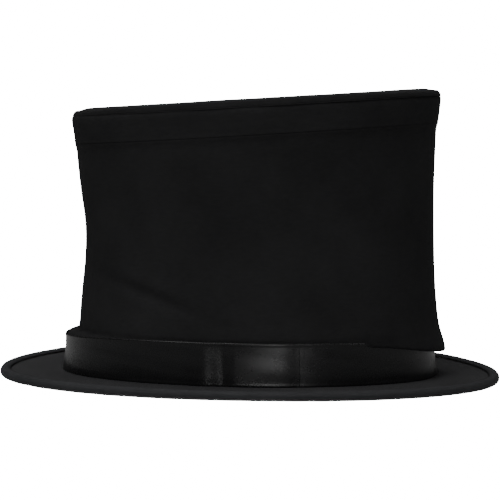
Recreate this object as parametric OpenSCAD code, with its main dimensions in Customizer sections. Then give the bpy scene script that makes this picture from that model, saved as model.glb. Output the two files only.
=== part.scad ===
// Spring-framed folding top hat.
// Millimetres. +Z is up, -X is the front of the hat, -Y is its left side.
// The origin is the middle of the brim's underside, where the hat stands.

/* [Head and brim] */
// Length of the head opening, inside the sweatband
head_l = 198; // [190:1:208]
// Width of the head opening, inside the sweatband
head_w = 164; // [158:1:170]
// Length of the brim, front to back
brim_l = 278; // [266:1:292]
// Width of the brim, side to side
brim_w = 252; // [240:1:262]
// Thickness of the rolled edge round the brim
edge_d = 5.2; // [4.8:0.1:6]
// Height of the ribbon above the brim
band_h = 22.8; // [20:0.1:25]

/* [Crown] */
// Height of the middle of the tip above the table
tip_z = 155.8; // [140:0.1:165]
// Slope of the tip, which rises towards the back
tip_tilt = 4.16; // [2:0.01:5]
// How far back the middle of the tip stands
tip_shift = 1.2; // [0:0.1:3]
// Half length of the tip
tip_a = 102.4; // [100:0.1:104]
// Height of the upper hoop's strip
top_hoop_h = 14; // [10:0.5:16]

/* [Folding frame] */
// Height of the lower hinges above the table
hinge_z = 29; // [28:0.5:32]
// Distance of the front and back hinges from the middle
hinge_x = 90; // [86:0.5:91]
// Distance of the side hinges from the middle
hinge_y = 73; // [70:0.5:74]
// Inward lean of the front arms while the hat is open
front_lean = 6; // [5:0.5:8]
// Inward lean of the back arms while the hat is open
back_lean = 9.5; // [8:0.1:11]
// Inward lean of the side arms while the hat is open
side_lean = 7.8; // [6:0.1:9]
// Width of an arm
arm_w = 4.6; // [4:0.1:5]
// Thickness of an arm
arm_t = 1.6; // [1.2:0.1:1.6]
// Diameter of the hinge pins
pin_d = 2.4; // [2:0.1:2.6]

/* [Hidden] */
$fn = 96;

// Every oval has four arcs: two end arcs centred at x = +-end_c, and two
// flatter side arcs. A layer round the head keeps the same four centres.
end_c = 30;
head_a = head_l / 2;
head_d = (head_l - head_w) / 2;
brim_a = brim_l / 2;
brim_d = (brim_l - brim_w) / 2;

// Layers at the foot of the crown, given by their half length
gap = 0.15;
sweat_t = 0.8;
foot_t = 0.8;
hoop_t = 0.9;
cloth_t = 0.6;
ribbon_t = 0.7;
foot_a = head_a + sweat_t + gap;
hoop_a = foot_a + foot_t + 0.1;
cloth_a = hoop_a + hoop_t + gap;
band_a = cloth_a + cloth_t + 0.2;
lap_a = band_a + ribbon_t + 0.1;

// The brim: a board between two cloths, held by a rolled edge round a cord
edge_r = edge_d / 2;
cord_r = edge_r - 1.1;
binding_in = cord_r + 0.1;
rest_w = 1.6;
edge_a = brim_a - edge_r;
flange_z = edge_r - 1;
flange_a = edge_a - cord_r - gap;
brim_cloth_t = 0.5;
board_t = 1.0;
board_z = flange_z + brim_cloth_t;
flange_top = board_z + board_t + brim_cloth_t;

// Heights at the foot of the crown
sweat_z0 = 1;
sweat_z1 = 22;
seat_z = flange_top + 0.1;
hoop_z1 = 23.5;
foot_z0 = 8;
foot_z1 = 24.2;
band_z1 = seat_z + band_h;
rivet_z = [12, 19];
rivet_r = 1.0;
rivet_fit = 0.05;
rivet_sink = 0.4;

// The lap where the ribbon's end covers its start, on the left side
lap_x0 = -12;
lap_x1 = 28;

// The tip, downwards from its top: cloth with a short skirt, board, lining, brackets
skirt_h = 4.6;
tip_cloth_t = 0.7;
tip_board_z = -tip_cloth_t - 0.1;
tip_board_t = 2;
tip_lining_t = 0.5;
tip_lining_z = tip_board_z - tip_board_t - 0.1;
tip_foot_z = tip_lining_z - tip_lining_t - 0.1;
wall_top_a = (tip_a - tip_cloth_t - 0.35) * cos(tip_tilt);
tip_board_a = wall_top_a - cloth_t - 0.25;
top_hoop_a = 98.7;
pivot_drop = 12;

// The arms stand beside each other on the elbow pin, the springs between them
FRONT = 0;
BACK = 1;
LEFT = 2;
RIGHT = 3;
leg_az = [180, 0, 270, 90];
leg_x = [-hinge_x, hinge_x, 0, 0];
leg_reach = [hinge_x, hinge_x, hinge_y, hinge_y];
leg_foot = [foot_a, foot_a, foot_a - head_d, foot_a - head_d];
leg_lean = [front_lean, back_lean, side_lean, side_lean];
pin_r = pin_d / 2;
eye_r = 3.4;
arm_in = 2.8;
arm_out = arm_in + arm_t;
pin_press = 0.02;
pin_running = 0.05;
open_eye = 1.0;
cheek_t = 1.1;
cheek_gap = 0.2;
top_cheek_gap = 0.7;

// Springs: a short coil round the elbow pin, and a leg that hooks over its arm
wire_r = 0.4;
coil_r = 2.9;
coil_pitch = 0.9;
coil_turns = 1.75;
coil_steps = 20;
spring_leg = 17;
wire_sides = 8;

// Side wall of the crown: height share, half length and backward shift.
// Share 0 is the brim and share 1 is the sloping tip.
wall_rings = [
    [0, cloth_a + cloth_t, 0],
    [0.152, cloth_a + cloth_t, 0],
    [0.18, 101.2, 5.1],
    [0.21, 99.9, 5.0],
    [0.29, 98.2, 4.8],
    [0.41, 97.0, 4.4],
    [0.54, 96.8, 3.7],
    [0.65, 97.8, 2.6],
    [0.82, 99.8, 1.6],
    [0.965, wall_top_a, tip_shift + 0.4],
    [1, wall_top_a, tip_shift],
];
oval_sides = 96;

// Distance of a side arc's centre beyond the middle, for a given half difference
function side_k(d) = d * (2 * end_c - d) / (2 * (end_c - d));

// A point on an oval, where its outline faces the direction n
function oval_point(a, d, n) =
    let (
        k = side_k(d),
        side_r = a - d + k,
        across = atan2(abs(sin(n)), abs(cos(n))),
        sx = cos(n) < 0 ? -1 : 1,
        sy = sin(n) < 0 ? -1 : 1
    )
    across < atan2(k, end_c)
        ? [sx * (end_c + (a - end_c) * cos(across)), sy * (a - end_c) * sin(across)]
        : [sx * side_r * cos(across), sy * (side_r * sin(across) - k)];

// Height of the hinge above leg i, under the sloping tip
function top_pivot_z(i) =
    tip_z + ((leg_x[i] - tip_shift) * sin(tip_tilt) - pivot_drop) / cos(tip_tilt);

// The same hinge in the tip's own frame
function tip_pivot_x(i) =
    (leg_x[i] - tip_shift) * cos(tip_tilt) + (top_pivot_z(i) - tip_z) * sin(tip_tilt);

function arm_l(i) = (top_pivot_z(i) - hinge_z) / (2 * cos(leg_lean[i]));

// Oval filled in, in the plane
module oval(a, d) {
    k = side_k(d);
    side_r = a - d + k;
    join_x = end_c + (a - end_c) * cos(atan2(k, end_c));
    intersection() {
        translate([0, -k]) circle(r = side_r, $fn = 240);
        translate([0, k]) circle(r = side_r, $fn = 240);
        square([2 * join_x, 4 * a], center = true);
    }
    for (s = [-1, 1]) translate([s * end_c, 0]) circle(r = a - end_c, $fn = 240);
}

// Upright ring between two ovals round the head
module ring(a_in, a_out, z0, z1, d = head_d) {
    translate([0, 0, z0]) linear_extrude(z1 - z0) difference() {
        oval(a_out, d);
        oval(a_in, d);
    }
}

// Flat layer of the brim
module flange(z0, t) {
    translate([0, 0, z0]) linear_extrude(t) difference() {
        oval(flange_a, brim_d);
        oval(foot_a, head_d);
    }
}

// Closed skin over a stack of equal rings, the last ring joined to the first
module loft(stack) {
    rows = len(stack);
    n = len(stack[0]);
    faces = [
        for (i = [0:rows - 1], j = [0:n - 1])
            let (i2 = (i + 1) % rows, j2 = (j + 1) % n)
            each [[i * n + j, i2 * n + j, i2 * n + j2], [i * n + j, i2 * n + j2, i * n + j2]]
    ];
    polyhedron(points = [for (s = stack) each s], faces = faces, convexity = 4);
}

// Sweep a section, a list of [outward, up] points, round the edge of the brim
module round_edge(section) {
    loft([
        for (q = section) [
            for (j = [0:oval_sides - 1])
                let (p = oval_point(edge_a + q[0], brim_d, 360 * j / oval_sides))
                [p[0], p[1], edge_r + q[1]]
        ]
    ]);
}

// Points on an arc of radius r about the middle of the edge
function arc(r, from, to, steps) =
    [for (j = [0:steps]) let (a = from + (to - from) * j / steps) [r * cos(a), r * sin(a)]];

module brim_board() {
    color("dimgray") flange(board_z, board_t);
}

module brim_top_cloth() {
    color([0.05, 0.05, 0.055]) flange(board_z + board_t, brim_cloth_t);
}

module brim_under_cloth() {
    color([0.05, 0.05, 0.055]) flange(flange_z, brim_cloth_t);
}

module brim_edge_cord() {
    color("gray") round_edge(arc(cord_r - 0.05, 0, 315, 7));
}

// The binding is open on its inner side, where the flange runs in.
// Its underside is pressed flat where the hat stands.
module brim_binding() {
    slot = (flange_top - flange_z) / 2 + 0.05;
    outer = 180 - asin(slot / edge_r);
    inner = 180 - asin(slot / binding_in);
    foot = [[-rest_w / 2, -edge_r], [rest_w / 2, -edge_r]];
    color([0.07, 0.07, 0.08]) round_edge(concat(
        arc(edge_r, -outer, -115, 2), foot, arc(edge_r, -65, outer, 11),
        arc(binding_in, inner, -inner, 12)
    ));
}

module sweatband() {
    color([0.1, 0.08, 0.07]) ring(head_a, head_a + sweat_t, sweat_z0, sweat_z1);
}

// Flat bow sewn to the sweatband at the back
module sweatband_bow() {
    bow_z = 11;
    color([0.08, 0.07, 0.08]) translate([head_a - 0.7, 0, bow_z]) rotate([90, 0, -90]) {
        linear_extrude(1.0) polygon([[-9, -4], [0, -1.2], [9, -4], [9, 4], [0, 1.2], [-9, 4]]);
        linear_extrude(1.8) square([3.4, 3.6], center = true);
    }
}

// Holes or rivets that join leg i's foot to the lower hoop
module base_rivet(i, r) {
    rotate(leg_az[i]) for (z = rivet_z)
        translate([leg_foot[i] + 0.02, 0, z]) rotate([0, 90, 0])
            cylinder(r = r, h = foot_t + 0.1 + hoop_t - 0.04, $fn = 24);
}

module base_rivet_hole(i) {
    rotate(leg_az[i]) for (z = rivet_z)
        translate([leg_foot[i] - 1, 0, z]) rotate([0, 90, 0])
            cylinder(r = rivet_r + rivet_fit, h = 5, $fn = 24);
}

module base_hoop() {
    color("silver") difference() {
        ring(hoop_a, hoop_a + hoop_t, seat_z, hoop_z1);
        for (i = [FRONT:RIGHT]) base_rivet_hole(i);
    }
}

module base_rivets() {
    color("gainsboro") for (i = [FRONT:RIGHT]) base_rivet(i, rivet_r);
}

module hat_band() {
    color([0.09, 0.09, 0.1]) ring(band_a, band_a + ribbon_t, seat_z, band_z1);
}

module hat_band_lap() {
    color([0.13, 0.13, 0.14]) translate([0, 0, seat_z]) linear_extrude(band_h) intersection() {
        difference() {
            oval(lap_a + ribbon_t, head_d);
            oval(lap_a, head_d);
        }
        translate([lap_x0, -head_w]) square([lap_x1 - lap_x0, head_w]);
    }
}

// One ring of points of the side wall, in by the given amount
function wall_ring(w, inset) = [
    for (j = [0:oval_sides - 1])
        let (
            p = oval_point(w[1] - inset, head_d, 360 * j / oval_sides),
            x = p[0] + w[2],
            top = tip_z + tip_board_z + (x - tip_shift) * tan(tip_tilt)
        )
        [x, p[1], seat_z + w[0] * (top - seat_z)]
];

// Side wall: a closed skin between an outer and an inner stack of rings
module crown_cloth() {
    last = len(wall_rings) - 1;
    stacks = concat(
        [for (i = [0:last]) wall_ring(wall_rings[i], 0)],
        [for (i = [last:-1:0]) wall_ring(wall_rings[i], cloth_t)]
    );
    color([0.06, 0.06, 0.065]) loft(stacks);
}

// Upright plate in leg i's frame: outward along X, its thickness along Y
module plate(y0, y1) {
    translate([0, y1, 0]) rotate([90, 0, 0]) linear_extrude(y1 - y0) children();
}

// Cheek of a bracket, from its foot to the eye round the pin at the origin
module cheek(foot) {
    difference() {
        union() {
            polygon(foot);
            circle(r = eye_r, $fn = 32);
        }
        circle(r = pin_r + pin_press, $fn = 32);
    }
}

module base_bracket(i) {
    reach = leg_reach[i];
    wall = leg_foot[i] + 0.3 - reach;
    color("darkgray") {
        difference() {
            translate([0, 0, foot_z0]) linear_extrude(foot_z1 - foot_z0) intersection() {
                difference() {
                    oval(foot_a + foot_t, head_d);
                    oval(foot_a, head_d);
                }
                rotate(leg_az[i]) translate([reach - 10, -4.5]) square([40, 13]);
            }
            base_rivet_hole(i);
        }
        rotate(leg_az[i]) translate([reach, 0, hinge_z]) {
            low = foot_z1 - hinge_z;
            outline = [
                [wall, low - 1.9], [wall, low], [6.2, low + 0.4],
                [0, 2.4], [-2.2, 0], [0, -2.4], [7.5, low - 1.9],
            ];
            plate(arm_in - cheek_gap - cheek_t, arm_in - cheek_gap) cheek(outline);
            plate(arm_out + cheek_gap, arm_out + cheek_gap + cheek_t) cheek(outline);
        }
    }
}

module base_pins() {
    length = arm_t + 2 * (cheek_gap + cheek_t);
    color("gainsboro") for (i = [FRONT:RIGHT])
        rotate(leg_az[i]) translate([leg_reach[i], arm_in - cheek_gap - cheek_t, hinge_z])
            rotate([-90, 0, 0]) cylinder(r = pin_r, h = length, $fn = 32);
}

// Place children on leg i's lower arm: Z runs from the base hinge to the elbow
module on_lower(i) {
    rotate(leg_az[i]) translate([leg_reach[i], 0, hinge_z]) rotate([0, -leg_lean[i], 0])
        children();
}

// Place children on leg i's upper arm: Z runs from the elbow to the top hinge
module on_upper(i) {
    on_lower(i) translate([0, 0, arm_l(i)]) rotate([0, 2 * leg_lean[i], 0]) children();
}

module arm(length, hole0, hole1) {
    difference() {
        union() {
            translate([-arm_w / 2, 0]) square([arm_w, length]);
            circle(r = eye_r, $fn = 32);
            translate([0, length]) circle(r = eye_r, $fn = 32);
        }
        circle(r = hole0, $fn = 32);
        translate([0, length]) circle(r = hole1, $fn = 32);
    }
}

module lower_arm(i) {
    color("lightgray") on_lower(i) plate(arm_in, arm_out)
        arm(arm_l(i), pin_r + pin_running, pin_r + pin_press);
}

// The front arm turns on its top pin; the others have room round theirs
module upper_arm(i) {
    top = i == FRONT ? pin_running : open_eye;
    color("lightgray") on_upper(i) plate(-arm_out, -arm_in)
        arm(arm_l(i), pin_r + pin_running, pin_r + top);
}

module elbow_pin(i) {
    head = 0.7;
    half = arm_out + 0.1;
    color("gainsboro") on_lower(i) translate([0, 0, arm_l(i)]) rotate([-90, 0, 0]) {
        translate([0, 0, -half]) cylinder(r = pin_r, h = 2 * half, $fn = 32);
        for (z = [-half - head, half]) translate([0, 0, z]) cylinder(r = 2.1, h = head, $fn = 32);
    }
}

// Centre, inner normal and side normal of each ring of half a spring.
// The coil runs along +Y and ends at its outward side; the leg runs on along -Z.
function spring_path() =
    let (
        n = round(coil_turns * coil_steps),
        y0 = wire_r + 0.1,
        y1 = y0 + coil_turns * coil_pitch,
        reach = arm_in + arm_t
    )
    concat(
        [
            for (j = [0:n])
                let (a = -360 * (coil_turns * (1 - j / n)))
                [[coil_r * cos(a), y0 + (y1 - y0) * j / n, -coil_r * sin(a)],
                    [cos(a), 0, -sin(a)], [0, 1, 0]]
        ],
        [
            [[coil_r, y1, -spring_leg], [1, 0, 0], [0, 1, 1]],
            [[coil_r, reach, -spring_leg], [1, 0, 0], [0, 0, 1]],
        ]
    );

// Half of an elbow spring, with its leg along -Z
module half_spring() {
    path = spring_path();
    rows = len(path);
    n = wire_sides;
    points = [
        for (q = path, j = [0:n - 1])
            let (a = 360 * j / n)
            q[0] + wire_r * (cos(a) * q[1] + sin(a) * q[2])
    ];
    faces = concat(
        [[for (j = [0:n - 1]) j]],
        [
            for (i = [0:rows - 2], j = [0:n - 1])
                let (j2 = (j + 1) % n)
                each [
                    [i * n + j, (i + 1) * n + j, (i + 1) * n + j2],
                    [i * n + j, (i + 1) * n + j2, i * n + j2]
                ]
        ],
        [[for (j = [n - 1:-1:0]) (rows - 1) * n + j]]
    );
    polyhedron(points = points, faces = faces, convexity = 8);
}

module spring_lower(i) {
    color("slategray") on_lower(i) translate([0, 0, arm_l(i)]) half_spring();
}

module spring_upper(i) {
    color("slategray") on_upper(i) rotate([180, 0, 0]) half_spring();
}

// The tip's own frame: its top is the plane z = 0
module in_tip() {
    translate([tip_shift, 0, tip_z]) rotate([0, -tip_tilt, 0]) children();
}

// Leg i's top hinge in the tip's frame, outward along X
module at_tip_pivot(i) {
    side = i == LEFT ? -hinge_y : i == RIGHT ? hinge_y : 0;
    translate([tip_pivot_x(i), side, -pivot_drop]) rotate(leg_az[i]) children();
}

module tip_rivet_spots(i) {
    at_tip_pivot(i) for (x = [-5, 2.4]) translate([x, 1.8, pivot_drop]) children();
}

module tip_rivet_holes() {
    for (i = [FRONT:RIGHT]) tip_rivet_spots(i)
        translate([0, 0, -10]) cylinder(r = rivet_r + rivet_fit, h = 11, $fn = 24);
}

module top_bracket(i) {
    deep = pivot_drop + tip_foot_z;
    color("darkgray") in_tip() {
        difference() {
            at_tip_pivot(i) translate([-7.5, -8, deep - foot_t]) cube([11.7, 12.5, foot_t]);
            tip_rivet_spots(i)
                translate([0, 0, -10]) cylinder(r = rivet_r + rivet_fit, h = 10, $fn = 24);
        }
        at_tip_pivot(i) {
            top = deep - foot_t / 2;
            outline = [[-5, top], [4, top], [2.4, 0], [-2.4, 0]];
            y0 = -arm_in + top_cheek_gap;
            y1 = -arm_out - top_cheek_gap;
            plate(y0, y0 + cheek_t) cheek(outline);
            plate(y1 - cheek_t, y1) cheek(outline);
        }
    }
}

module top_pins() {
    length = arm_t + 2 * (top_cheek_gap + cheek_t);
    color("gainsboro") in_tip() for (i = [FRONT:RIGHT])
        at_tip_pivot(i) translate([0, -arm_out - top_cheek_gap - cheek_t, 0])
            rotate([-90, 0, 0]) cylinder(r = pin_r, h = length, $fn = 32);
}

module top_rivets() {
    shaft = -tip_foot_z + foot_t + tip_board_z - rivet_sink;
    color("gainsboro") in_tip() for (i = [FRONT:RIGHT]) tip_rivet_spots(i) {
        translate([0, 0, tip_foot_z - foot_t]) cylinder(r = rivet_r, h = shaft, $fn = 24);
        translate([0, 0, tip_foot_z - foot_t - 0.8]) cylinder(r = 1.7, h = 0.75, $fn = 24);
    }
}

module top_hoop() {
    z1 = tip_foot_z;
    color("silver") in_tip() ring(top_hoop_a - hoop_t, top_hoop_a, z1 - top_hoop_h, z1);
}

module tip_lining() {
    color([0.2, 0.19, 0.2]) in_tip() difference() {
        translate([0, 0, tip_lining_z - tip_lining_t]) linear_extrude(tip_lining_t)
            oval(top_hoop_a, head_d);
        tip_rivet_holes();
    }
}

module tip_board() {
    color("dimgray") in_tip() difference() {
        translate([0, 0, tip_board_z - tip_board_t]) linear_extrude(tip_board_t)
            oval(tip_board_a, head_d);
        tip_rivet_holes();
    }
}

module tip_cloth() {
    color([0.05, 0.05, 0.055]) in_tip() difference() {
        translate([0, 0, -skirt_h]) linear_extrude(skirt_h) oval(tip_a, head_d);
        translate([0, 0, -skirt_h - 1]) linear_extrude(skirt_h + 1 - tip_cloth_t)
            oval(tip_a - tip_cloth_t, head_d);
    }
}

brim_board();
brim_top_cloth();
brim_under_cloth();
brim_edge_cord();
brim_binding();
sweatband();
sweatband_bow();
base_hoop();
base_rivets();
hat_band();
hat_band_lap();
crown_cloth();
base_bracket(FRONT);  // base_bracket_front
base_bracket(BACK);  // base_bracket_back
base_bracket(LEFT);  // base_bracket_left
base_bracket(RIGHT);  // base_bracket_right
base_pins();
lower_arm(FRONT);  // lower_arm_front
lower_arm(BACK);  // lower_arm_back
lower_arm(LEFT);  // lower_arm_left
lower_arm(RIGHT);  // lower_arm_right
elbow_pin(FRONT);  // elbow_pin_front
elbow_pin(BACK);  // elbow_pin_back
elbow_pin(LEFT);  // elbow_pin_left
elbow_pin(RIGHT);  // elbow_pin_right
spring_lower(FRONT);  // spring_lower_front
spring_lower(BACK);  // spring_lower_back
spring_lower(LEFT);  // spring_lower_left
spring_lower(RIGHT);  // spring_lower_right
upper_arm(FRONT);  // upper_arm_front
upper_arm(BACK);  // upper_arm_back
upper_arm(LEFT);  // upper_arm_left
upper_arm(RIGHT);  // upper_arm_right
spring_upper(FRONT);  // spring_upper_front
spring_upper(BACK);  // spring_upper_back
spring_upper(LEFT);  // spring_upper_left
spring_upper(RIGHT);  // spring_upper_right
top_bracket(FRONT);  // top_bracket_front
top_bracket(BACK);  // top_bracket_back
top_bracket(LEFT);  // top_bracket_left
top_bracket(RIGHT);  // top_bracket_right
top_pins();
top_rivets();
top_hoop();
tip_lining();
tip_board();
tip_cloth();
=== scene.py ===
"""Looks of the spring-framed folding top hat.

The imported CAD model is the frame: its steel parts are kept and given materials, and its plain
cloth, ribbon and leather solids are replaced by detailed meshes in the same places.
Metres; +Z up, -X is the hat's front and -Y its left side.
"""

import math

import bmesh
import bpy
import numpy as np
from mathutils import Matrix, Vector


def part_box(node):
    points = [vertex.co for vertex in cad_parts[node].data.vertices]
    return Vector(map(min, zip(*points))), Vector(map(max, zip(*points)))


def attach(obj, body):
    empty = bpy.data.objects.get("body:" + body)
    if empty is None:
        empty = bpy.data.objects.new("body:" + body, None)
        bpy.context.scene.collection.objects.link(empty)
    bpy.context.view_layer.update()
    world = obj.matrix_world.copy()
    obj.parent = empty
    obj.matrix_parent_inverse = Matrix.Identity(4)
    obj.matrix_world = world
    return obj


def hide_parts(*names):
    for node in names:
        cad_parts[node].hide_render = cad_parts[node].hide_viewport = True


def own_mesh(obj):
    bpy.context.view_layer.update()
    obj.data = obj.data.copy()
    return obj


MM = 0.001
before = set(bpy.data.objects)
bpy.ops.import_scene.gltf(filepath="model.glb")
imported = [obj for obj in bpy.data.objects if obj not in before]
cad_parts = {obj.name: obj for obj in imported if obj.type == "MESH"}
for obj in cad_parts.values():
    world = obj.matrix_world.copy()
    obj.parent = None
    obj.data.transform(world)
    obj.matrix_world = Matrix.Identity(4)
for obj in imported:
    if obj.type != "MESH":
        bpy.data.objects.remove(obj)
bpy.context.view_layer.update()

# ---------------------------------------------------------------- sizes, from the frame

LEGS = ("front", "back", "left", "right")
END_C = 30 * MM  # distance of an end arc's centre from the middle, as in the CAD ovals
TIP_TILT = math.radians(4.16)  # slope of the tip, which rises to the back

brim_low, brim_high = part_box("brim_binding")
band_low, band_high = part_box("hat_band")
sweat_low, sweat_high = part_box("sweatband")
tip_low, tip_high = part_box("tip_cloth")
board_low, board_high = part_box("tip_board")
lining_low, lining_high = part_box("tip_lining")

# _A is an oval's half length along X, _B its half width, and _D the difference between them
BRIM_A, BRIM_B = brim_high.x, brim_high.y
BRIM_D = BRIM_A - BRIM_B
EDGE_R = (brim_high.z - brim_low.z) / 2
HEAD_D = sweat_high.x - sweat_high.y
SWEAT_A = sweat_high.x
BAND_A = band_high.x
BAND_H = band_high.z - band_low.z
TIP_A = (tip_high.y - tip_low.y) / 2 + HEAD_D
TIP_X = (tip_high.x + tip_low.x) / 2
TIP_Z = tip_high.z - TIP_A * math.sin(TIP_TILT)
BOARD_A = (board_high.y - board_low.y) / 2 + HEAD_D
LINING_A = (lining_high.y - lining_low.y) / 2 + HEAD_D
SKIRT_H = 4.6 * MM  # height of the tip cloth's skirt

# The brim curls a little: lowest at its two ends, higher at its sides, the right one most
CURL = 1.6 * MM
LEAN = 1.1 * MM
FLANGE_TOP = 3.0 * MM  # top of the flat brim where its curl is 0
LAYER_T = 0.5 * MM  # thickness of a brim cloth, and of the ribbon
SMOOTH_ROUND = 480  # columns in every closed ring


def brim_lift(x, y):
    """How far the brim's curl raises it at x, y. It is 0 at the two ends."""
    return CURL * (1 + (y / BRIM_B) ** 2 - (x / BRIM_A) ** 2) + LEAN * y / BRIM_B


# ---------------------------------------------------------------- mesh building


def oval(a, d, n):
    """Points of a four-arc oval of half length a and half width a - d, where its outline faces n."""
    k = d * (2 * END_C - d) / (2 * (END_C - d))
    side_r = a - d + k
    across = np.arctan2(abs(np.sin(n)), abs(np.cos(n)))
    on_end = across < math.atan2(k, END_C)
    x = np.where(on_end, END_C + (a - END_C) * np.cos(across), side_r * np.cos(across))
    y = np.where(on_end, (a - END_C) * np.sin(across), side_r * np.sin(across) - k)
    return np.sign(np.cos(n)) * x, np.sign(np.sin(n)) * y


def run_along(points):
    """Distance of each point along a line of points, from the first."""
    return np.concatenate([[0], np.cumsum(np.linalg.norm(np.diff(points, axis=0), axis=1))])


def turns(count):
    """Facing angles for a ring of columns, spaced evenly along a head oval."""
    fine = np.linspace(0, 2 * np.pi, 8001)
    run = run_along(np.stack(oval(SWEAT_A, HEAD_D, fine), axis=1))
    return np.interp(np.arange(count) / count * run[-1], run, fine)


ROUND = turns(SMOOTH_ROUND)


def oval_angle(a, d):
    """Each column's direction from the middle of an oval."""
    x, y = oval(a, d, ROUND)
    return np.arctan2(y, x)


def oval_point(a, d, n):
    """One point of an oval, as two plain numbers."""
    x, y = oval(a, d, np.array(n))
    return float(x), float(y)


def grid_mesh(name, rows, wrap_rows=True, wrap_columns=True):
    """A mesh of quads over rows of points, which run up the outside, then down the inside.

    Its UVs are metres along the rows and columns.
    """
    rows = np.asarray(rows, float)
    m, n = rows.shape[:2]
    points = rows.reshape(-1, 3)
    i = np.arange(m if wrap_rows else m - 1)
    j = np.arange(n if wrap_columns else n - 1)
    i, j = (g.ravel() for g in np.meshgrid(i, j, indexing="ij"))
    i2, j2 = (i + 1) % m, (j + 1) % n
    quads = np.stack([i * n + j, i * n + j2, i2 * n + j2, i2 * n + j], axis=1)
    faces = quads.tolist()
    if wrap_rows and not wrap_columns:
        faces.append([r * n for r in range(m)])
        faces.append([r * n + n - 1 for r in range(m - 1, -1, -1)])
    me = bpy.data.meshes.new(name)
    me.from_pydata(points.tolist(), [], faces)
    row, column = rows[m // 4], rows[:, 0]
    u = run_along(np.vstack([row, row[:1]]))
    v = run_along(np.vstack([column, column[:1]]))
    corner_u = np.stack([u[j], u[j + 1], u[j + 1], u[j]], axis=1)
    corner_v = np.stack([v[i], v[i], v[i + 1], v[i + 1]], axis=1)
    uv = np.stack([corner_u, corner_v], axis=2).reshape(-1, 2)
    layer = me.uv_layers.new(name="cloth")
    data = np.zeros((len(me.loops), 2), np.float32)
    data[: len(uv)] = uv
    layer.data.foreach_set("uv", data.ravel())
    me.shade_smooth()
    me.validate()
    me.update()
    ob = bpy.data.objects.new(name, me)
    bpy.context.scene.collection.objects.link(ob)
    return ob


def curve_through(t, keys):
    """Smooth values at t through keys, rows of [t, value, value ...], without overshoot."""
    keys = np.asarray(keys, float)
    x, y = keys[:, 0], keys[:, 1:]
    h = np.diff(x)[:, None]
    slope = np.diff(y, axis=0) / h
    grad = np.zeros_like(y)
    grad[1:-1] = (slope[1:] * h[:-1] + slope[:-1] * h[1:]) / (h[:-1] + h[1:])
    grad[0], grad[-1] = slope[0], slope[-1]
    s = np.clip(np.searchsorted(x, t, side="right") - 1, 0, len(x) - 2)
    step = (x[s + 1] - x[s])[:, None]
    w = (t - x[s])[:, None] / step
    return (
        (2 * w**3 - 3 * w**2 + 1) * y[s]
        + (w**3 - 2 * w**2 + w) * step * grad[s]
        + (3 * w**2 - 2 * w**3) * y[s + 1]
        + (w**3 - w**2) * step * grad[s + 1]
    )


def ripple(seed, angle, level, lowest=2, highest=9, waves=10):
    """Smooth noise, mostly from -1 to 1, that closes on itself round the hat. level is a height share."""
    rng = np.random.default_rng(seed)
    total = np.zeros(np.broadcast(angle, level).shape)
    for _ in range(waves):
        round_hat = rng.integers(lowest, highest + 1)
        up = rng.uniform(-2.2, 2.2) * 2 * np.pi
        total += rng.uniform(0.5, 1) * np.sin(round_hat * angle + up * level + rng.uniform(0, 6.28))
    return total / math.sqrt(waves)


def bump(x, centre, width):
    """A soft bump of height 1."""
    return np.exp(-(((x - centre) / width) ** 2))


def fill_poles(ob, rows, columns):
    """Close the first and the last row of a disc-like grid, and map its flat faces from above."""
    bm = bmesh.new()
    bm.from_mesh(ob.data)
    bm.verts.ensure_lookup_table()
    bm.faces.new([bm.verts[j] for j in range(columns - 1, -1, -1)])
    bm.faces.new([bm.verts[(rows - 1) * columns + j] for j in range(columns)])
    layer = bm.loops.layers.uv["cloth"]
    for face in bm.faces:
        if abs(face.normal.z) > 0.8:
            for loop in face.loops:
                loop[layer].uv = loop.vert.co.xy
        face.smooth = True
    bm.to_mesh(ob.data)
    bm.free()
    ob.data.update()


def fill_ends(ob, rows, columns):
    """Close the two ends of a tube."""
    bm = bmesh.new()
    bm.from_mesh(ob.data)
    bm.verts.ensure_lookup_table()
    bm.faces.new([bm.verts[j] for j in range(columns)])
    bm.faces.new([bm.verts[(rows - 1) * columns + j] for j in range(columns - 1, -1, -1)])
    bmesh.ops.recalc_face_normals(bm, faces=bm.faces[:])
    for face in bm.faces:
        face.smooth = True
    bm.to_mesh(ob.data)
    bm.free()
    ob.data.update()


def finish_piece(ob, body, slot, material, *replaced):
    """Give a made piece its material and body, and hide the CAD nodes that it stands for. Its slot is not
    used.
    """
    ob.data.materials.clear()
    ob.data.materials.append(material)
    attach(ob, body)
    if replaced:
        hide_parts(*replaced)
    return ob


# ---------------------------------------------------------------- materials


def new_material(name):
    """A node material, its tree and its shader."""
    mat = bpy.data.materials.new(name)
    mat.use_nodes = True
    tree = mat.node_tree
    return mat, tree, tree.nodes["Principled BSDF"]


def math_node(tree, operation, *values):
    """The result of one operation on numbers or node outputs."""
    node = tree.nodes.new("ShaderNodeMath")
    node.operation = operation
    for socket, value in zip(node.inputs, values):
        if isinstance(value, (int, float)):
            socket.default_value = value
        else:
            tree.links.new(value, socket)
    return node.outputs[0]


def add(tree, a, b):
    return math_node(tree, "ADD", a, b)


def times(tree, a, b):
    return math_node(tree, "MULTIPLY", a, b)


def noise_node(tree, vector, scale, detail=3.0, rough=0.5):
    node = tree.nodes.new("ShaderNodeTexNoise")
    node.inputs["Scale"].default_value = scale
    node.inputs["Detail"].default_value = detail
    node.inputs["Roughness"].default_value = rough
    tree.links.new(vector, node.inputs["Vector"])
    return node.outputs["Fac"]


def ramp_node(tree, factor, low, high, dark, light):
    """A colour that goes from dark to light as a factor goes from low to high."""
    node = tree.nodes.new("ShaderNodeValToRGB")
    node.color_ramp.elements[0].position = low
    node.color_ramp.elements[1].position = high
    node.color_ramp.elements[0].color = (*dark, 1)
    node.color_ramp.elements[1].color = (*light, 1)
    tree.links.new(factor, node.inputs["Fac"])
    return node.outputs["Color"]


def object_place(tree):
    """The object's own coordinates, in metres."""
    return tree.nodes.new("ShaderNodeTexCoord").outputs["Object"]


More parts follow.
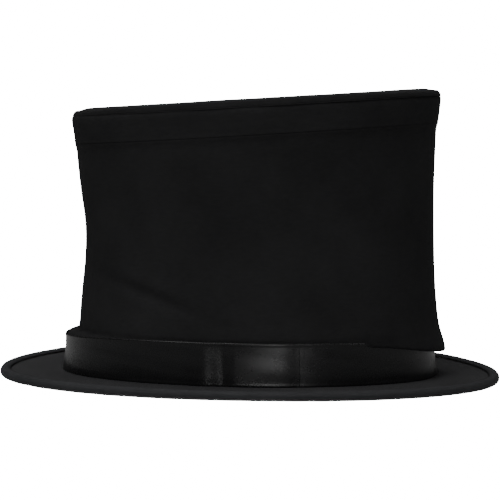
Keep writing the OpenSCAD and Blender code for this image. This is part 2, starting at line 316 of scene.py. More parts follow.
def scaled(tree, vector, scale):
    """A vector stretched by a scale for each axis."""
    node = tree.nodes.new("ShaderNodeMapping")
    node.inputs["Scale"].default_value = scale
    tree.links.new(vector, node.inputs["Vector"])
    return node.outputs["Vector"]


def add_relief(tree, shader, height, distance=1.0):
    """Bump the surface by a height, which is in metres when the distance is 1."""
    node = tree.nodes.new("ShaderNodeBump")
    node.inputs["Strength"].default_value = 1.0
    node.inputs["Distance"].default_value = distance
    tree.links.new(height, node.inputs["Height"])
    tree.links.new(node.outputs["Normal"], shader.inputs["Normal"])


def thread_height(tree, u, v, pitch, satin):
    """Height of a weave. Plain weave crosses every thread; satin has long floats on a slant."""
    turn = 2 * math.pi / pitch
    warp = math_node(tree, "SINE", times(tree, u, turn))
    if satin:
        slant = add(tree, u, times(tree, v, 0.4))
        dip = math_node(tree, "SINE", times(tree, slant, turn * 0.4))
        return add(tree, times(tree, warp, 0.35), times(tree, dip, 0.2))
    return times(tree, warp, math_node(tree, "SINE", times(tree, v, turn)))


def fabric(name, dark, light, rough, pitch, satin=False, specular=0.2, sheen=0.0, weave=0.05):
    """Woven cloth: threads in the cloth's own directions, slubs, faded patches and lint.

    The thread's pitch is in metres and the height of the weave is in millimetres.
    """
    mat, tree, shader = new_material(name)
    cloth = tree.nodes.new("ShaderNodeUVMap")
    cloth.uv_map = "cloth"
    parts = tree.nodes.new("ShaderNodeSeparateXYZ")
    tree.links.new(cloth.outputs["UV"], parts.inputs[0])
    place = object_place(tree)
    threads = thread_height(tree, parts.outputs["X"], parts.outputs["Y"], pitch, satin)
    stretch = (60, 900, 1) if satin else (250, 700, 1)
    slubs = noise_node(tree, scaled(tree, cloth.outputs["UV"], stretch), 1.0, 2.0)
    patches = noise_node(tree, place, 28.0, 4.0, 0.6)
    lint = noise_node(tree, place, 900.0, 1.0)
    tone = add(tree, times(tree, patches, 0.7), times(tree, slubs, 0.3))
    tree.links.new(ramp_node(tree, tone, 0.3, 0.75, dark, light), shader.inputs["Base Color"])
    gloss = add(tree, times(tree, patches, 0.16), rough - 0.13)
    tree.links.new(add(tree, gloss, times(tree, lint, 0.1)), shader.inputs["Roughness"])
    shader.inputs["Specular IOR Level"].default_value = specular
    shader.inputs["Sheen Weight"].default_value = sheen
    shader.inputs["Sheen Roughness"].default_value = 0.45
    height = add(tree, times(tree, threads, weave * MM), times(tree, slubs, weave * 1.2 * MM))
    add_relief(tree, shader, height)
    return mat


def leather(name, dark, light):
    """Thin glazed leather with fine grain and rubbed places."""
    mat, tree, shader = new_material(name)
    place = object_place(tree)
    grain = tree.nodes.new("ShaderNodeTexVoronoi")
    grain.feature = "DISTANCE_TO_EDGE"
    grain.inputs["Scale"].default_value = 1100
    tree.links.new(place, grain.inputs["Vector"])
    cells = math_node(tree, "MINIMUM", grain.outputs["Distance"], 0.25)
    rub = noise_node(tree, place, 45, 5, 0.6)
    tree.links.new(ramp_node(tree, rub, 0.3, 0.75, dark, light), shader.inputs["Base Color"])
    tree.links.new(add(tree, times(tree, rub, 0.25), 0.3), shader.inputs["Roughness"])
    shader.inputs["Specular IOR Level"].default_value = 0.4
    add_relief(tree, shader, times(tree, cells, 0.35 * MM))
    return mat


def board(name, dark, light):
    """Stiffened fibre board: pressed fibres and blotches."""
    mat, tree, shader = new_material(name)
    place = object_place(tree)
    fibres = noise_node(tree, place, 700, 6, 0.7)
    blots = noise_node(tree, place, 40, 3)
    tone = add(tree, times(tree, fibres, 0.5), times(tree, blots, 0.5))
    tree.links.new(ramp_node(tree, tone, 0.35, 0.65, dark, light), shader.inputs["Base Color"])
    shader.inputs["Roughness"].default_value = 0.9
    add_relief(tree, shader, fibres, 0.08 * MM)
    return mat


def steel(name, colour, rough, stretch=(1, 1, 1), stain=0.35):
    """Rolled or drawn steel: scratches along its stretch, and oil stains."""
    mat, tree, shader = new_material(name)
    place = object_place(tree)
    scratches = noise_node(tree, scaled(tree, place, stretch), 900, 3, 0.6)
    stains = noise_node(tree, place, 60, 4, 0.6)
    dark = tuple(c * (1 - stain) for c in colour)
    tree.links.new(ramp_node(tree, stains, 0.35, 0.65, dark, colour), shader.inputs["Base Color"])
    shader.inputs["Metallic"].default_value = 1.0
    gloss = add(tree, times(tree, scratches, 0.25), rough - 0.12)
    tree.links.new(add(tree, gloss, times(tree, stains, 0.12)), shader.inputs["Roughness"])
    add_relief(tree, shader, scratches, 0.02 * MM)
    return mat


MAT = {
    "crown": fabric("crown_cloth", (0.0095, 0.0095, 0.0098), (0.0155, 0.0155, 0.016), 0.75, 0.42 * MM,
                    specular=0.04),
    "brim": fabric("brim_cloth", (0.017, 0.017, 0.0178), (0.027, 0.027, 0.028), 0.68, 0.42 * MM,
                   specular=0.06),
    "binding": fabric("binding_cloth", (0.015, 0.0152, 0.0165), (0.025, 0.0253, 0.027), 0.6, 0.4 * MM,
                      specular=0.1),
    "ribbon": fabric("satin_ribbon", (0.0034, 0.0034, 0.0036), (0.0052, 0.0052, 0.0055), 0.28, 0.3 * MM,
                     satin=True, specular=0.26, weave=0.012),
    "bow": fabric("bow_satin", (0.007, 0.006, 0.007), (0.011, 0.01, 0.011), 0.32, 0.3 * MM,
                  satin=True, specular=0.45, weave=0.012),
    "lining": fabric("lining_sateen", (0.012, 0.012, 0.013), (0.02, 0.02, 0.021), 0.42, 0.35 * MM,
                     satin=True, specular=0.35, sheen=0.05, weave=0.02),
    "thread": fabric("black_thread", (0.01, 0.01, 0.01), (0.015, 0.015, 0.015), 0.6, 0.12 * MM,
                     specular=0.06, weave=0.02),
    "cord": fabric("edge_cord", (0.25, 0.235, 0.21), (0.36, 0.34, 0.31), 0.85, 0.5 * MM,
                   sheen=0.1, weave=0.08),
    "leather": leather("sweatband_leather", (0.012, 0.009, 0.008), (0.028, 0.021, 0.018)),
    "board": board("fibre_board", (0.055, 0.05, 0.043), (0.1, 0.092, 0.08)),
    "hoop": steel("blued_spring_steel", (0.2, 0.205, 0.225), 0.38, stretch=(1, 1, 12)),
    "arm": steel("stamped_steel", (0.46, 0.455, 0.44), 0.36, stretch=(6, 6, 0.4)),
    "bracket": steel("bracket_steel", (0.4, 0.395, 0.385), 0.42, stretch=(3, 3, 1)),
    "wire": steel("spring_wire", (0.3, 0.3, 0.31), 0.3, stain=0.5),
    "rivet": steel("plated_rivet", (0.6, 0.59, 0.56), 0.28, stain=0.25),
}

# ---------------------------------------------------------------- stitches


def stitch_row(name, path, count, length, radius, material, body, slot):
    """Short threads along a closed path. path(t) gives a point, a way out and a way along at t.

    Each thread is thick in its middle, and dips into the cloth at its ends.
    """
    sides, steps = 6, 6
    rows, faces = [], []
    for s in range(count):
        at, out, along = (np.asarray(q, float) for q in path(s / count))
        side = np.cross(along, out)
        base = len(rows)
        for k in range(steps):
            w = k / (steps - 1) * 2 - 1
            centre = at + along * (w * length / 2) + out * (radius * 1.1 * (1 - w * w) - radius * 0.55)
            size = radius * math.sqrt(max(0.12, 1 - w**4))
            for q in range(sides):
                angle = 2 * math.pi * q / sides
                rows.append(centre + size * (math.cos(angle) * out + math.sin(angle) * side))
        for k in range(steps - 1):
            for q in range(sides):
                a, b = base + k * sides + q, base + k * sides + (q + 1) % sides
                faces.append((a, b, b + sides, a + sides))
        faces.append(tuple(base + q for q in range(sides - 1, -1, -1)))
        faces.append(tuple(base + (steps - 1) * sides + q for q in range(sides)))
    me = bpy.data.meshes.new(name)
    me.from_pydata([tuple(r) for r in rows], [], faces)
    layer = me.uv_layers.new(name="cloth")
    loops = np.zeros(len(me.loops), np.int32)
    me.loops.foreach_get("vertex_index", loops)
    k = loops % (sides * steps)
    uv = np.stack([(k % sides) * radius, (k // sides) * length / steps], axis=1)
    layer.data.foreach_set("uv", uv.astype(np.float32).ravel())
    me.shade_smooth()
    me.update()
    ob = bpy.data.objects.new(name, me)
    bpy.context.scene.collection.objects.link(ob)
    return finish_piece(ob, body, slot, material)


def along_oval(surface):
    """A stitch path from surface(n), which gives a point and an outward direction on a ring."""
    fine = np.linspace(0, 2 * np.pi, 2001)
    run = run_along(np.array([surface(n)[0] for n in fine]))

    def path(t):
        n = float(np.interp(t * run[-1], run, fine))
        at, out = surface(n)
        ahead = surface(n + 0.002)[0] - surface(n - 0.002)[0]
        along = ahead / np.linalg.norm(ahead)
        out = out - along * np.dot(out, along)
        return at, out / np.linalg.norm(out), along

    return path


# ---------------------------------------------------------------- the brim


def flange_layer(name, z0, z1, inner_a, outer_a, material, slot, node):
    """One layer of the flat brim, from z0 to z1, between its inner oval and the rolled edge."""
    wave = 0.12 * MM
    shares = np.concatenate([[0, 0.004], np.linspace(0.03, 0.97, 34), [0.996, 1]])
    x0, y0 = oval(inner_a, HEAD_D, ROUND)
    x1, y1 = oval(outer_a, BRIM_D, ROUND)

    def surface(share, z, side):
        x, y = x0 + (x1 - x0) * share, y0 + (y1 - y0) * share
        angle = np.arctan2(y, x)
        soft = wave * ripple(11, angle, share, 2, 7) * math.sin(math.pi * min(1, share * 1.02))
        pucker = 0.12 * wave * np.sin(150 * angle) * bump(share, 1.0, 0.06)
        rounding = 0.15 * MM * side if share in (0, 1) else 0.0
        return np.stack([x, y, z + soft + pucker + brim_lift(x, y) - rounding], axis=1)

    under = [surface(s, z0, -1) for s in shares]
    over = [surface(s, z1, 1) for s in shares[::-1]]
    return finish_piece(grid_mesh(name, under + over), "base", slot, MAT[material], node)


def brim_pieces():
    """The flat brim: a board between two cloths."""
    mid = FLANGE_TOP - 1.0 * MM
    core = 0.45 * MM  # half the board's thickness
    gap = 0.05 * MM
    cloth_in, cloth_out = core + gap, core + gap + LAYER_T
    inner_a = SWEAT_A + 0.2 * MM
    outer_a = BRIM_A - 2.6 * MM
    ovals = inner_a, outer_a
    under = flange_layer("brim_underside", mid - cloth_out, mid - cloth_in, *ovals,
                         "brim", "brim_cloth", "brim_under_cloth")
    flange_layer("brim_core", mid - core, mid + core, *ovals, "board", "board", "brim_board")
    top = flange_layer("brim_topside", mid + cloth_in, mid + cloth_out, *ovals,
                       "brim", "brim_cloth", "brim_top_cloth")


def edge_section(u):
    """Outward and upward place of the rolled edge's surface at turn u, with a pressed ridge on top."""
    ridge = 0.3 * MM * bump(u, math.radians(62), 0.28)
    blunt = 0.86  # a section with a power below 1 is a little squarer than a circle
    out = math.copysign(abs(math.cos(u)) ** blunt, math.cos(u)) * (EDGE_R + 0.35 * MM + ridge)
    up = math.copysign(abs(math.sin(u)) ** blunt, math.sin(u)) * (EDGE_R - 0.1 * MM + ridge)
    return out, up


def brim_edge():
    """The rolled edge: cloth wrapped over a cord, creased along its top, with its hem inside."""
    middle_a = BRIM_A - EDGE_R
    angle = oval_angle(middle_a, BRIM_D)
    lift = brim_lift(*oval(BRIM_A, BRIM_D, ROUND))
    turn = math.radians(158)  # how far the cloth wraps each way from the outermost line
    hem = 0.45 * MM  # thickness of the cloth
    rows = []
    for side in (1, -1):
        for u in np.linspace(-turn, turn, 33)[::side]:
            out, up = edge_section(u)
            wrinkle = 0.05 * MM * (ripple(5, angle, u, 20, 60, 14) + ripple(6, angle, u, 3, 9))
            inward = 0 if side > 0 else hem
            scale = 1 + (wrinkle - inward) / EDGE_R
            px, py = oval(middle_a + out * scale, BRIM_D, ROUND)
            rows.append(np.stack([px, py, EDGE_R + lift + up * scale], axis=1))
    ob = grid_mesh("brim_rolled_edge", rows)
    finish_piece(ob, "base", "binding_cloth", MAT["binding"], "brim_binding")
    # the cord inside is twisted, so its lay runs round it and along it
    cord_rows = []
    for u in np.linspace(0, 2 * np.pi, 14, endpoint=False):
        r = EDGE_R - 1.15 * MM + 0.08 * MM * np.sin(6 * u + 180 * angle)
        px, py = oval(middle_a + r * np.cos(u), BRIM_D, ROUND)
        cord_rows.append(np.stack([px, py, EDGE_R + lift + r * np.sin(u)], axis=1))
    cord = grid_mesh("edge_cord", cord_rows)
    finish_piece(cord, "base", "cord", MAT["cord"], "brim_edge_cord")

    for name, z, way in (("top", FLANGE_TOP, 1.0), ("under", FLANGE_TOP - 2.0 * MM, -1.0)):

        def stitch_at(n, z=z, way=way):
            sx, sy = oval_point(middle_a - EDGE_R * 1.12, BRIM_D, n)
            return np.array([sx, sy, z + brim_lift(sx, sy)]), np.array([0, 0, way])

        stitch_row(f"edge_stitches_{name}", along_oval(stitch_at), count=250, length=2.3 * MM,
                   radius=0.22 * MM, material=MAT["thread"], body="base", slot="binding_cloth")


# ---------------------------------------------------------------- the ribbon


def band_foot(x, y):
    """Height of the brim under the ribbon."""
    return FLANGE_TOP + brim_lift(x, y) + 0.15 * MM


def on_left(y):
    """1 on the hat's left side, which the photograph shows, and 0 on its right."""
    return np.where(y < 0, 1.0, 0.0)


def band_swell(x, y, share):
    """How far the ribbon stands out from its oval: soft waves, and the folds beside its lap."""
    angle = np.arctan2(y, x)
    soft = 0.12 * MM * ripple(21, angle, share, 3, 8)
    roll = 1.15 * MM * bump(x, -24 * MM, 5.2 * MM)
    dip = -0.4 * MM * bump(x, -11 * MM - 1.5 * MM * share, 3 * MM)
    # at the sides it leans in at its top, and at the two ends it flares out at its foot
    lean = -0.48 * MM * math.sin(math.pi * (share - 0.45)) * np.sin(angle) ** 4
    flare = 1.3 * MM * bump(share, 0.0, 0.34) * np.cos(angle) ** 8
    return soft + on_left(y) * (roll + dip) + lean + flare


def ribbon_rows(base_a, n, swell):
    """Rows of a ribbon standing on the brim: up its face, over its top hem and down its back."""
    shares = np.concatenate([[0, 0.012, 0.035, 0.06], np.linspace(0.1, 0.9, 17), [0.94, 0.965, 0.988, 1]])
    rows = []
    for side in (1, -1):
        for share in shares[::side]:
            x, y = oval(base_a, HEAD_D, n)
            hem = 0.16 * MM * (bump(share, 0.03, 0.02) + bump(share, 0.97, 0.02))
            a = base_a + swell(x, y, share) + (hem if side > 0 else -LAYER_T - hem)
            x, y = oval(a, HEAD_D, n)
            # it stands a little lower at the two ends, where it flares
            tall = BAND_H * (1 - 0.13 * (x / BAND_A) ** 4)
            rows.append(np.stack([x, y, band_foot(x, y) + share * tall], axis=1))
    return rows


def band_pieces():
    """The ribbon, and its end lapped over its start on the left side."""
    face_a = BAND_A - 0.2 * MM
    band = grid_mesh("ribbon_band", ribbon_rows(face_a, ROUND, band_swell))
    finish_piece(band, "base", "ribbon", MAT["ribbon"], "hat_band")
    lap_low, lap_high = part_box("hat_band_lap")
    left = np.linspace(-np.pi, 0, 4001)
    xs = oval(face_a, HEAD_D, left)[0]
    n0, n1 = np.interp([lap_low.x, lap_high.x], xs, left)

    def lap_swell(x, y, share):
        """The lap rises off the band from its glued start, and is pressed flat again at its end."""
        rise = np.clip((x - lap_low.x) / (6 * MM), 0, 1)
        start = -LAYER_T * (1 - rise * rise * (3 - 2 * rise))
        end = -0.6 * MM * bump(x, lap_high.x, 6 * MM)
        pillow = 0.3 * MM * math.sin(math.pi * share) * bump(x, 12 * MM, 14 * MM)
        return band_swell(x, y, share) + 0.62 * MM + pillow + start + end

    rows = ribbon_rows(face_a, np.linspace(n0, n1, 90), lap_swell)
    lap = grid_mesh("ribbon_lap", rows, wrap_columns=False)
    finish_piece(lap, "base", "ribbon", MAT["ribbon"], "hat_band_lap")


# ---------------------------------------------------------------- the crown's side wall

# Key rows of the side wall: [row, front x, front z, back x, back z], in mm.
# Row 0 is its foot, which lies over the lower hoop, inside the ribbon, and row 1 is its top.
# Between the hoops it is drawn in to a waist.
WALL_KEYS = [
    [0.00, -102.05, 5.0, 102.05, 5.0],
    [0.08, -102.1, 22.5, 102.1, 22.5],
    [0.10, -101.3, 24.4, 102.5, 25.3],
    [0.115, -99.0, 25.1, 103.0, 26.4],
    [0.135, -96.3, 26.1, 104.4, 27.4],
    [0.16, -95.6, 28.8, 105.2, 29.4],
    [0.21, -94.8, 36.0, 104.4, 36.0],
    [0.30, -93.4, 48.0, 103.0, 50.0],
    [0.42, -92.5, 64.5, 101.6, 68.5],
    [0.55, -93.0, 84.0, 100.5, 89.0],
    [0.70, -95.3, 103.0, 100.4, 113.0],
    [0.84, -98.3, 126.9, 102.1, 141.8],
    [0.865, -98.9, 129.6, 102.6, 144.5],
    [0.92, -100.1, 136.0, 103.3, 150.9],
    [0.97, -100.9, 143.1, 103.4, 158.0],
    [1.00, -99.3, 145.3, 101.7, 160.0],
]
WALL_T = 0.55 * MM  # thickness of the cloth
PRESSED_T = 0.25 * MM  # and where it is pressed
WALL_JOIN = 0.86  # row of the upper hoop's lower edge, where the two pieces meet
WALL_TUCK = 0.875  # row up to which the lower piece goes on, inside the upper one
SLUMP_ROW = 0.121  # row where it bulges over the ribbon at the back


def wall_relief(x, y, row, angle):
    """Folds and pressed lines of the side wall, outwards in metres."""
    # the cloth is free to wave away from its foot and its top
    free = np.clip((row - 0.14) / 0.1, 0, 1) * np.clip((0.97 - row) / 0.1, 0, 1)
    drape = 0.6 * MM * ripple(31, angle, row, 2, 7) * free
    small = 0.22 * MM * ripple(32, angle, row, 8, 20, 14) * free
    # the upper hoop shows through as a ridge over a hollow, and gathers run down from it
    hollow = 0.82
    hoop = 0.22 * MM * bump(row, 0.858, 0.016) - 0.2 * MM * bump(row, hollow, 0.026)
    from_hoop = 0.05 * MM * np.sin(46 * angle + 3 * np.sin(5 * angle)) * bump(row, hollow, 0.05)
    over_band = 0.12 * MM * np.sin(34 * angle + 2 * np.sin(7 * angle)) * bump(row, 0.17, 0.035)
    # a slanting crease low on the left side, near the front, with a ridge above it
    slant = (x / MM + 73) / 36
    line = 0.355 - 0.085 * slant
    reach = MM * on_left(y) * bump(slant, 0.6, 0.6)
    crease = reach * (0.6 * bump(row, line + 0.05, 0.03) - 1.1 * bump(row, line, 0.024))
    # the seam runs up the back: a groove between two low ridges
    off = np.abs(angle)
    seam = MM * (0.35 * bump(off, 0.022, 0.011) - 0.5 * bump(off, 0.0, 0.008)) * (row > 0.1)
    return drape + small + hoop + from_hoop + over_band + crease + seam


def wall_ring(row, inward, keys):
    """One row of the side wall, inward metres inside its face. keys are its two ends."""
    xf, zf, xb, zb = keys
    a, x0 = (xb - xf) / 2, (xb + xf) / 2
    x, y = oval(a, HEAD_D, ROUND)
    angle = np.arctan2(y, x)
    # at the back the wall has slipped down and bulges over the ribbon
    slump = bump(angle, 0.0, 0.62)
    bulge = 5.2 * MM * slump * bump(row, SLUMP_ROW, 0.027)
    sag = -9.7 * MM * slump * bump(row, SLUMP_ROW, 0.023) * (row > 0.1)
    a = a + wall_relief(x + x0, y, row, angle) + bulge - inward
    x, y = oval(a, HEAD_D, ROUND)
    along = np.clip((x + x0 - xf) / (xb - xf), 0, 1)
    return np.stack([x + x0, y, zf + (zb - zf) * along + sag], axis=1)


def wall_piece(name, levels, outer_in, inner_in):
    """A closed skin of the side wall between two depths, given by row."""
    keys = curve_through(levels, WALL_KEYS) * MM
    outer = [wall_ring(r, d, k) for r, d, k in zip(levels, outer_in, keys)]
    inner = [wall_ring(r, d, k) for r, d, k in zip(levels[::-1], inner_in[::-1], keys[::-1])]
    return grid_mesh(name, outer + inner)


def crown_wall():
    """The side wall, in the part that folds and the part that is sewn round the upper hoop."""
    levels = np.concatenate([
        np.linspace(0, 0.1, 7), np.linspace(0.106, 0.25, 28), np.linspace(0.262, 0.78, 44),
        np.linspace(0.787, WALL_JOIN, 14), np.linspace(0.862, WALL_TUCK, 4),
    ])
    outer = np.where(levels > WALL_JOIN - 0.001, 0.28 * MM, 0.0)
    # the cloth is pressed thin between the lower hoop and the ribbon
    inner = np.interp(levels, [0.08, 0.11], [PRESSED_T, WALL_T])
    lower = wall_piece("crown_wall", levels, outer, inner)
    finish_piece(lower, "base", "crown_cloth", MAT["crown"], "crown_cloth")
    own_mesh(lower)

    levels = np.concatenate([
        [WALL_JOIN], np.linspace(WALL_JOIN + 0.003, 0.9, 14), np.linspace(0.905, 1, 14),
    ])
    inner = np.interp(levels, [WALL_JOIN, WALL_JOIN + 0.012], [PRESSED_T, WALL_T])
    upper = wall_piece("crown_wall_top", levels, np.zeros(len(levels)), inner)
    finish_piece(upper, "crown_top", "crown_cloth", MAT["crown"])


# ---------------------------------------------------------------- the tip


def on_tip(points):
    """Points in the tip's own frame, where its top is z = 0, moved to the hat."""
    points = np.asarray(points, float)
    c, s = math.cos(TIP_TILT), math.sin(TIP_TILT)
    x, y, z = points[..., 0], points[..., 1], points[..., 2]
    return np.stack([TIP_X + x * c - z * s, y, TIP_Z + x * s + z * c], axis=-1)


def disc_rows(edge_a, shares, height):
    """Rows from the middle of a head oval to its edge. height(share) gives each row's heights."""
    x, y = oval(edge_a, HEAD_D, ROUND)
    return [np.stack([x * share, y * share, height(share)], axis=1) for share in shares]


def tip_droop(share, angle):
    """How far the tip's edge hangs, most at its front and its back."""
    return -0.4 * MM * bump(share, 1.0, 0.06) - 1.0 * MM * bump(share, 1.0, 0.045) * np.cos(angle) ** 4


def tip_core():
    """The tip's board, its edge bent down a little at the front and the back."""
    angle = oval_angle(BOARD_A, HEAD_D)
    shares = np.concatenate([[0.002], np.linspace(0.06, 0.84, 20), np.linspace(0.86, 1, 16)])
    top, thick = -1.45 * MM, 1.45 * MM

    def rounding(share):
        return 0.15 * MM * bump(share, 1.0, 0.012)

    def over(share):
        return top + tip_droop(share, angle) - rounding(share)

    def under(share):
        return top - thick + 0.9 * tip_droop(share, angle) + rounding(share)

    rows = disc_rows(BOARD_A, shares, under) + disc_rows(BOARD_A, shares[::-1], over)
    rows = on_tip(np.array(rows))
    ob = grid_mesh("tip_core", rows, wrap_rows=False)
    fill_poles(ob, len(rows), SMOOTH_ROUND)
    finish_piece(ob, "crown_top", "board", MAT["board"], "tip_board")


def tip_cap():
    """The tip's cloth: a slack top, a rounded rim and a short skirt stitched to the side wall."""
    thick = 0.6 * MM
    stitched = 0.8  # share of the skirt's height at which it is stitched
    # the corner is rounder at the front and the back
    ends = np.cos(ROUND) ** 4
    round_out = 1.6 * MM + 1.0 * MM * ends
    round_down = 1.6 * MM + 1.9 * MM * ends
    flat_a = TIP_A - round_out
    angle = oval_angle(flat_a, HEAD_D)

    def top(share):
        slack = -0.5 * MM * (1 - share**2)
        soft = 0.25 * MM * ripple(41, angle, share, 2, 6) * math.sin(math.pi * share)
        pucker = 0.12 * MM * np.sin(64 * angle + 4 * np.sin(3 * angle)) * bump(share, 0.95, 0.05)
        return slack + soft + pucker + tip_droop(share, angle)

    shares = np.concatenate([[0.002], np.linspace(0.04, 0.9, 40), np.linspace(0.915, 1, 12)])
    upper = disc_rows(flat_a, shares, top)
    edge_z = upper[-1][:, 2]
    wave = 0.22 * MM * ripple(42, angle, 0.0, 6, 18, 12)

    def rim(inward):
        """Rows round the corner, from the flat top to the skirt."""
        rows = []
        for turn in np.linspace(0.12, 1, 10) * math.pi / 2:
            x, y = oval(flat_a + (round_out - inward) * math.sin(turn), HEAD_D, ROUND)
            drop = (round_down - inward) * (1 - math.cos(turn))
            rows.append(np.stack([x, y, edge_z - inward - drop], axis=1))
        return rows

    def skirt(inward):
        """Rows down the skirt, which is waved, and pinched along its stitches."""
        rows = []
        for t in np.linspace(0.08, 1, 14):
            pinch = -0.28 * MM * bump(t, stitched, 0.09) + 0.2 * MM * bump(t, 0.93, 0.08) * (inward == 0)
            x, y = oval(TIP_A + wave * t + pinch - inward, HEAD_D, ROUND)
            z = (edge_z - round_down) * (1 - t) - SKIRT_H * t
            rows.append(np.stack([x, y, z], axis=1))
        return rows

    lower = disc_rows(flat_a, shares, lambda share: top(share) - thick)
    rows = upper + rim(0) + skirt(0) + skirt(thick)[::-1] + rim(thick)[::-1] + lower[::-1]
    rows = on_tip(np.array(rows[::-1]))
    ob = grid_mesh("tip_cap", rows, wrap_rows=False)
    fill_poles(ob, len(rows), SMOOTH_ROUND)
    finish_piece(ob, "crown_top", "crown_cloth", MAT["crown"], "tip_cloth")

    def stitch_at(n):
        x, y = oval_point(TIP_A - 0.28 * MM, HEAD_D, n)
        z = -SKIRT_H * stitched
        point = on_tip([x, y, z])
        return point, on_tip([x + math.cos(n), y + math.sin(n), z]) - point

    stitch_row("tip_stitches", along_oval(stitch_at), count=210, length=2.0 * MM,
               radius=0.2 * MM, material=MAT["thread"], body="crown_top", slot="crown_cloth")


def tip_inside():
    """The lining under the tip, slack and puckered at its edge."""
    a = LINING_A - 0.1 * MM
    top, thick = -3.0 * MM, 0.35 * MM
    angle = oval_angle(a, HEAD_D)

    def face(share):
        slack = -0.06 * MM * ripple(51, angle, share, 3, 9) * math.sin(math.pi * share)
        pucker = 0.1 * MM * np.sin(90 * angle + 5 * np.sin(4 * angle)) * bump(share, 0.93, 0.08)
        return top + 0.8 * tip_droop(share, angle) + slack + pucker

    shares = np.concatenate([[0.002], np.linspace(0.05, 1, 36)])
    under = disc_rows(a, shares, lambda share: face(share) - thick)
    over = disc_rows(a, shares[::-1], face)
    rows = on_tip(np.array(under + over))
    ob = grid_mesh("tip_inner_lining", rows, wrap_rows=False)
    fill_poles(ob, len(rows), SMOOTH_ROUND)
    finish_piece(ob, "crown_top", "lining_cloth", MAT["lining"], "tip_lining")


# ---------------------------------------------------------------- inside the head opening


def sweatband():
    """Leather sweatband: a folded upper edge, a line of stitches low down and soft dents."""
    z0, z1 = sweat_low.z, sweat_high.z
    thick = 0.75 * MM
    stitched = 0.16  # share of its height at which it is stitched
    shares = np.concatenate([[0, 0.02, 0.05], np.linspace(0.1, 0.86, 16), [0.9, 0.93, 0.96, 0.985, 1]])
    angle = oval_angle(SWEAT_A, HEAD_D)
    rows = []
    for side in (1, -1):
        for share in shares[::side]:
            dent = -0.1 * MM * (1 + ripple(61, angle, share, 3, 10)) * math.sin(math.pi * share)
            roll = 0.3 * MM * bump(share, 0.93, 0.03) - 0.12 * MM * bump(share, 0.875, 0.02)
            groove = 0.14 * MM * bump(share, stitched, 0.025)
            a = SWEAT_A - 0.02 * MM + (dent if side > 0 else dent - thick - roll + groove)
            px, py = oval(a, HEAD_D, ROUND)
            rows.append(np.stack([px, py, np.full(len(px), z0 + (z1 - z0) * share)], axis=1))
    ob = grid_mesh("leather_sweatband", rows)
    finish_piece(ob, "base", "sweatband_leather", MAT["leather"], "sweatband")

    def stitch_at(n):
        px, py = oval_point(SWEAT_A - 0.95 * MM, HEAD_D, n)
        return np.array([px, py, z0 + (z1 - z0) * stitched]), -np.array([math.cos(n), math.sin(n), 0.0])

    stitch_row("sweatband_stitches", along_oval(stitch_at), count=190, length=2.1 * MM,
               radius=0.2 * MM, material=MAT["thread"], body="base", slot="sweatband_leather")


def bow():
    """A small tied ribbon bow at the back of the sweatband."""
    low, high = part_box("sweatband_bow")
    x, z = low.x + 0.9 * MM, (low.z + high.z) / 2
    half, tall = (high.y - low.y) / 2, (high.z - low.z) / 2
    pieces = []
    for name, side in (("bow_loop_left", -1), ("bow_loop_right", 1)):
        rows = []
        for turn in np.linspace(0, 2 * np.pi, 20, endpoint=False):
            row = []
            for t in np.linspace(0.04, 1, 16):
                wide = tall * (0.28 + 0.72 * math.sin(min(1, t * 1.15) * math.pi / 2))
                puff = 0.75 * MM * math.sin(math.pi * t) ** 0.7 + 0.12 * MM
                fold = 0.16 * MM * math.sin(3 * turn + 2) * (1 - t)
                px = x + 0.3 * MM - math.cos(turn) * puff * 0.7 + fold
                row.append((px, side * half * t, z + math.sin(turn) * wide))
            rows.append(row)
        # the two loops mirror each other, so one runs its rows the other way
        pieces.append(grid_mesh(name, np.array(rows)[::-side], wrap_columns=False))
    knot = []
    for v in np.linspace(-1, 1, 15):
        around = math.sqrt(max(0.06, 1 - v**6))
        row = []
        for u in np.linspace(0, 2 * np.pi, 24, endpoint=False):
            out = MM * around * (1 + 0.06 * math.sin(5 * u))
            row.append((x - math.cos(u) * 1.15 * out, math.sin(u) * 1.7 * out, z + v * 1.9 * MM))
        knot.append(row[::-1])
    pieces.append(grid_mesh("bow_knot", knot, wrap_rows=False))
    fill_ends(pieces[-1], *np.shape(knot)[:2])
    finish_piece(pieces[0], "base", "bow_ribbon", MAT["bow"], "sweatband_bow")
    for ob in pieces[1:]:
        finish_piece(ob, "base", "bow_ribbon", MAT["bow"])


# ---------------------------------------------------------------- the steel parts


def paint_steel():
    """Materials for the CAD nodes that stay as they are."""
    finish = {}
    for level in ("base", "top"):
        finish[f"{level}_hoop"] = "hoop"
        finish[f"{level}_rivets"] = finish[f"{level}_pins"] = "rivet"
    for leg in LEGS:
        finish[f"lower_arm_{leg}"] = finish[f"upper_arm_{leg}"] = "arm"
        finish[f"spring_lower_{leg}"] = finish[f"spring_upper_{leg}"] = "wire"
        finish[f"base_bracket_{leg}"] = finish[f"top_bracket_{leg}"] = "bracket"
        finish[f"elbow_pin_{leg}"] = "rivet"
    for node, material in finish.items():
        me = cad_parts[node].data
        me.materials.clear()
        me.materials.append(MAT[material])


# ---------------------------------------------------------------- studio

FLOOR_GLOW = 20.0  # how bright the camera sees the floor and the surround
SURROUND = 0.035  # how bright the hat sees the surround

# Name, place and aim in metres, width and height in metres, power in watts
LIGHTS = [
    ("overhead", (-0.2, 0.1, 2.4), (0, 0, 0), (2.6, 2.6), 66),
    ("front_box", (0.58, -2.24, 0.3), (0, 0, 0.02), (0.7, 0.55), 10),
    ("left_box", (-1.6, -2.2, 2.4), (0, 0, 0.08), (2.2, 1.6), 98),
    ("right_fill", (2.3, -0.6, 1.6), (0, 0, 0.08), (0.8, 1.2), 17),
    ("under_glow", (0, 0, -0.3), (0, 0, 0), (0.16, 0.12), 1.6),
]


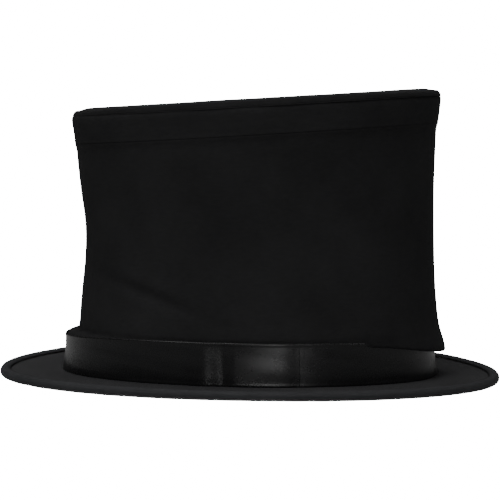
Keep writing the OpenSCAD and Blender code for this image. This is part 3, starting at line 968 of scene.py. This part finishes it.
def studio():
    """A floor and a surround that only the camera sees white, and soft lights.

    The strongest light is high in front, to the left, and the largest is overhead.
    """
    mat, tree, shader = new_material("studio_floor")
    tone = noise_node(tree, object_place(tree), 3.0, 2.0)
    grey = ramp_node(tree, tone, 0.2, 0.8, (0.27, 0.27, 0.27), (0.3, 0.3, 0.3))
    tree.links.new(grey, shader.inputs["Base Color"])
    shader.inputs["Roughness"].default_value = 0.9
    shader.inputs["Specular IOR Level"].default_value = 0.05
    shader.inputs["Emission Color"].default_value = (1, 1, 1, 1)
    light_path = tree.nodes.new("ShaderNodeLightPath")
    glow = times(tree, light_path.outputs["Is Camera Ray"], FLOOR_GLOW)
    tree.links.new(glow, shader.inputs["Emission Strength"])
    # from below, and to every light, the floor is clear
    clear = tree.nodes.new("ShaderNodeBsdfTransparent")
    side = tree.nodes.new("ShaderNodeMixShader")
    below = tree.nodes.new("ShaderNodeNewGeometry").outputs["Backfacing"]
    tree.links.new(math_node(tree, "MAXIMUM", below, light_path.outputs["Is Shadow Ray"]), side.inputs["Fac"])
    tree.links.new(shader.outputs["BSDF"], side.inputs[1])
    tree.links.new(clear.outputs["BSDF"], side.inputs[2])
    tree.links.new(side.outputs["Shader"], tree.nodes["Material Output"].inputs["Surface"])
    me = bpy.data.meshes.new("studio_floor")
    half = 14.0
    corners = [(-half, -half, 0), (half, -half, 0), (half, half, 0), (-half, half, 0)]
    me.from_pydata(corners, [], [(0, 1, 2, 3)])
    me.materials.append(mat)
    floor = bpy.data.objects.new("studio_floor", me)
    bpy.context.scene.collection.objects.link(floor)

    world = bpy.data.worlds.new("studio_world")
    bpy.context.scene.world = world
    world.use_nodes = True
    nodes, links = world.node_tree.nodes, world.node_tree.links
    back = nodes["Background"]
    back.inputs["Color"].default_value = (1, 1, 1, 1)
    seen = nodes.new("ShaderNodeLightPath")
    strength = nodes.new("ShaderNodeMapRange")
    strength.inputs["To Min"].default_value = SURROUND
    strength.inputs["To Max"].default_value = FLOOR_GLOW
    links.new(seen.outputs["Is Camera Ray"], strength.inputs["Value"])
    links.new(strength.outputs["Result"], back.inputs["Strength"])

    for name, place, aim, size, power in LIGHTS:
        data = bpy.data.lights.new(name, "AREA")
        data.shape = "RECTANGLE"
        data.size, data.size_y = size
        data.energy = power
        ob = bpy.data.objects.new(name, data)
        ob.location = place
        ob.rotation_euler = (Vector(aim) - Vector(place)).to_track_quat("-Z", "Y").to_euler()
        ob.visible_camera = False
        bpy.context.scene.collection.objects.link(ob)


def camera():
    """The view of the hat's left side, from a little above."""
    distance, elevation, azimuth, roll = 1.30, math.radians(3.59), math.radians(1.24), math.radians(0.83)
    target = Vector((0, 0, 76.5 * MM))
    away = Vector((math.sin(azimuth) * math.cos(elevation), -math.cos(azimuth) * math.cos(elevation),
                   math.sin(elevation)))
    right = Vector((0, 0, 1)).cross(away).normalized()
    up = away.cross(right)
    right, up = (right * math.cos(roll) + up * math.sin(roll), up * math.cos(roll) - right * math.sin(roll))
    # it looks a little below and to the left of the middle of the hat
    aim = target - right * 0.92 * MM - up * 5.55 * MM
    place = target + away * distance
    data = bpy.data.cameras.new("camera")
    data.lens = 167.6
    data.sensor_width = 36
    data.clip_start, data.clip_end = 0.05, 100
    ob = bpy.data.objects.new("camera", data)
    back = (place - aim).normalized()
    right = (right - back * right.dot(back)).normalized()
    up = back.cross(right)
    ob.matrix_world = Matrix((
        (right.x, up.x, back.x, place.x),
        (right.y, up.y, back.y, place.y),
        (right.z, up.z, back.z, place.z),
        (0, 0, 0, 1),
    ))
    bpy.context.scene.collection.objects.link(ob)
    bpy.context.scene.camera = ob


camera()
studio()
brim_pieces()
brim_edge()
band_pieces()
crown_wall()
tip_core()
tip_cap()
tip_inside()
sweatband()
bow()
paint_steel()
